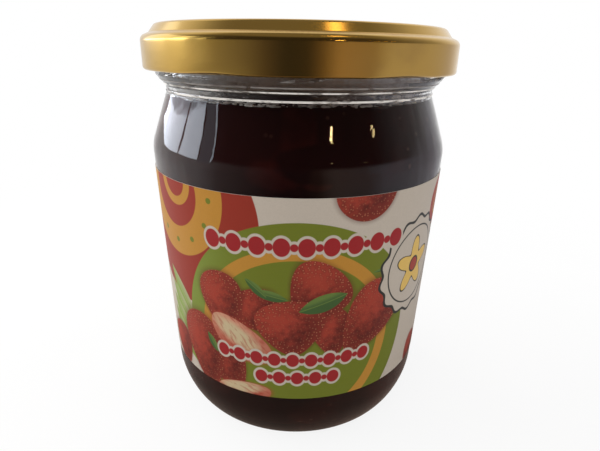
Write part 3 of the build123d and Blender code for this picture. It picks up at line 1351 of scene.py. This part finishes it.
def seen_straight(outputs):
    """1 for what the camera sees, itself or through glass, before any other bounce."""
    bounced = outputs["Glossy Depth"] + outputs["Diffuse Depth"]
    straight = outputs["Is Camera Ray"].most(outputs["Is Transmission Ray"])
    return straight * (1 - bounced.least(1))


def turned(across, deep):
    """Degrees right of the front, of a direction."""
    return across.arctan2(deep * -1) * math.degrees(1)


def room(tree, turn, stops):
    """The colour of the room in a level direction, from stops by degrees right of the front."""
    stops = [(degrees / 360 + 0.5, linear(*shade)) for degrees, shade in stops]
    return tree.node("ShaderNodeValToRGB", {"stops": stops}, {0: turn / 360 + 0.5})


def light_paths(tree):
    """Light Path's outputs by name."""
    paths = tree.node("ShaderNodeLightPath")
    return {output.name: Socket(tree, output) for output in paths.output.node.outputs}


def floor_finish(settings):
    """A white floor that keeps shadows. In gloss it is as bright as the room beyond it."""
    tree = new_tree("pale floor")
    outputs = light_paths(tree)
    place = tree.place()
    away = tree.distance(place)
    glowing = 0.86 + 0.14 * tree.fade(away, 0.1, 0.3)
    across, deep, _ = tree.apart(place)
    beyond = room(tree, turned(across, deep), HORIZON)
    near = tree.fade(away, 0.11, 0.05) * (0.9 + across)
    mirrored = tree.mix(near, beyond, settings.table)
    mottled = tree.mix(tree.grain(place, 30), settings.white, settings.shade)
    matt = tree.node("ShaderNodeBsdfDiffuse", values={"Color": mottled})
    glow = tree.mix(outputs["Is Glossy Ray"], settings.white, mirrored)
    glow = tree.node("ShaderNodeEmission", values={"Color": glow, "Strength": 1.0})
    share = (seen_straight(outputs) * glowing).most(outputs["Is Glossy Ray"])
    return tree.surface(tree.node("ShaderNodeMixShader", values={0: share, 1: matt, 2: glow}))


def make_floor(settings):
    """A flat floor under the jar."""
    shape = bmesh.new()
    bmesh.ops.create_grid(shape, x_segments=2, y_segments=2, size=FLOOR_HALF)
    floor = placed("floor", shape, floor_finish(settings))


def direction(turn, rise):
    """A unit vector by its angle from the front, rightwards, and its angle above the horizon."""
    turn, rise = math.radians(turn), math.radians(rise)
    level = math.cos(rise)
    return Vector((math.sin(turn) * level, -math.cos(turn) * level, math.sin(rise)))


def add_lamp(name, turns, rises, radiance, tint, mirrored):
    """An area lamp that faces the jar and fills the given angles, as bright as the radiance.

    It is either mirrored in gloss or lights what is matt, so that neither outshines the other.
    """
    turn, rise = sum(turns) / 2, sum(rises) / 2
    level = math.cos(math.radians(rise))
    lamp = bpy.data.lights.new(name, "AREA")
    lamp.shape = "RECTANGLE"
    lamp.size = 2 * LAMP_DISTANCE * level * math.tan(math.radians(turns[1] - turns[0]) / 2)
    lamp.size_y = 2 * LAMP_DISTANCE * math.tan(math.radians(rises[1] - rises[0]) / 2)
    lamp.color = tint
    lamp.energy = radiance * math.pi * lamp.size * lamp.size_y
    item = bpy.data.objects.new(name, lamp)
    aim = Vector((0, 0, CAD_BOX[1].z * AIM_SHARE))
    item.location = aim + direction(turn, rise) * LAMP_DISTANCE
    item.rotation_euler = (aim - item.location).to_track_quat("-Z", "Y").to_euler()
    item.visible_glossy = mirrored
    item.visible_diffuse = not mirrored
    item.visible_transmission = False
    bpy.context.scene.collection.objects.link(item)


def make_world(settings):
    """White to the camera, an even light, and a room that is dark in front for reflections."""
    world = bpy.data.worlds.new("studio")
    bpy.context.scene.world = world
    tree = Tree(world)
    outputs = light_paths(tree)
    across, deep, up = tree.apart(tree.node("ShaderNodeTexCoord", output=0))
    turn = turned(across, deep)
    rise = up.arcsine() * math.degrees(1)
    mirrored = tree.mix(tree.fade(rise, 3, 12), room(tree, turn, HORIZON), room(tree, turn, UPPER))
    mirrored = tree.mix(tree.fade(rise, 45, 65), mirrored, linear(*CEILING))
    blind = tree.fade(rise - BLIND_SLOPE * turn, *BLIND_EDGE)
    brighter = 0
    for turns, rises, brightness in WINDOW:
        pane = tree.band(turn, *turns) * tree.band(rise, *rises)
        mirrored = tree.mix(pane, mirrored, settings.window)
        brighter = pane * (brightness * (1 - BLIND_SHARE * blind) - 1) + brighter
    even = [settings.fill * channel for channel in settings.white]
    tint = tree.mix(outputs["Is Glossy Ray"], even, mirrored)
    tint = tree.mix(seen_straight(outputs), tint, settings.white)
    strength = 1 + outputs["Is Glossy Ray"] * brighter
    light = tree.node("ShaderNodeBackground", values={0: tint, 1: strength})
    tree.node("ShaderNodeOutputWorld", values={0: light})


def make_camera(settings):
    """The camera in front of the jar, a little above the cap's edge, looking down."""
    data = bpy.data.cameras.new("camera")
    data.lens = settings.camera_lens
    data.sensor_width = 36
    data.clip_start = 0.01
    camera = bpy.data.objects.new("camera", data)
    spot = Matrix.Translation((0, -settings.camera_distance, settings.camera_height))
    yaw = Matrix.Rotation(-settings.camera_yaw, 4, "Z")
    pitch = Matrix.Rotation(math.pi / 2 - settings.camera_pitch, 4, "X")
    roll = Matrix.Rotation(settings.camera_roll, 4, "Z")
    camera.matrix_world = spot @ yaw @ pitch @ roll
    bpy.context.scene.collection.objects.link(camera)
    bpy.context.scene.camera = camera


class JAMJAR_OT_stage(Operator):
    """Set out the floor, the light and the camera"""

    bl_idname = "jamjar.stage"
    bl_label = "Stage"

    def execute(self, context):
        settings = context.scene.stage_settings
        context.scene.view_settings.view_transform = "Standard"
        make_floor(settings)
        make_world(settings)
        make_camera(settings)
        for name, lamp in SMALL_LAMPS.items():
            add_lamp(name, *lamp, settings.lamp, mirrored=True)
        for name, lamp in LARGE_LAMPS.items():
            add_lamp(name, *lamp, settings.white, mirrored=False)
        return {"FINISHED"}


# ---- add-on


OPERATORS = (
    JAMJAR_OT_glass,
    JAMJAR_OT_jam,
    JAMJAR_OT_foam,
    JAMJAR_OT_film,
    JAMJAR_OT_cap,
    JAMJAR_OT_label,
    JAMJAR_OT_stage,
)


class JAMJAR_PT_panel(Panel):
    """The jar's operators and settings"""

    bl_label = "Jam Jar"
    bl_idname = "JAMJAR_PT_panel"
    bl_space_type = "VIEW_3D"
    bl_region_type = "UI"
    bl_category = "Jam Jar"

    def draw(self, context):
        layout = self.layout
        for operator in OPERATORS:
            layout.operator(operator.bl_idname)
        for name in SETTINGS:
            group = getattr(context.scene, name)
            box = layout.box()
            for key in group.bl_rna.properties.keys():
                if key not in ("rna_type", "name"):
                    box.prop(group, key)


SETTINGS = {
    "jar_sizes": JarSizes,
    "jam_looks": JamLooks,
    "cap_looks": CapLooks,
    "label_looks": LabelLooks,
    "stage_settings": StageSettings,
}
CLASSES = (*SETTINGS.values(), *OPERATORS, JAMJAR_PT_panel)


def register():
    for item in CLASSES:
        bpy.utils.register_class(item)
    for name, group in SETTINGS.items():
        setattr(bpy.types.Scene, name, PointerProperty(type=group))


def unregister():
    for name in SETTINGS:
        delattr(bpy.types.Scene, name)
    for item in reversed(CLASSES):
        bpy.utils.unregister_class(item)


def main():
    """Builds everything."""
    register()
    for operator in OPERATORS:
        family, name = operator.bl_idname.split(".")
        getattr(getattr(bpy.ops, family), name)()


if __name__ == "__main__":
    main()
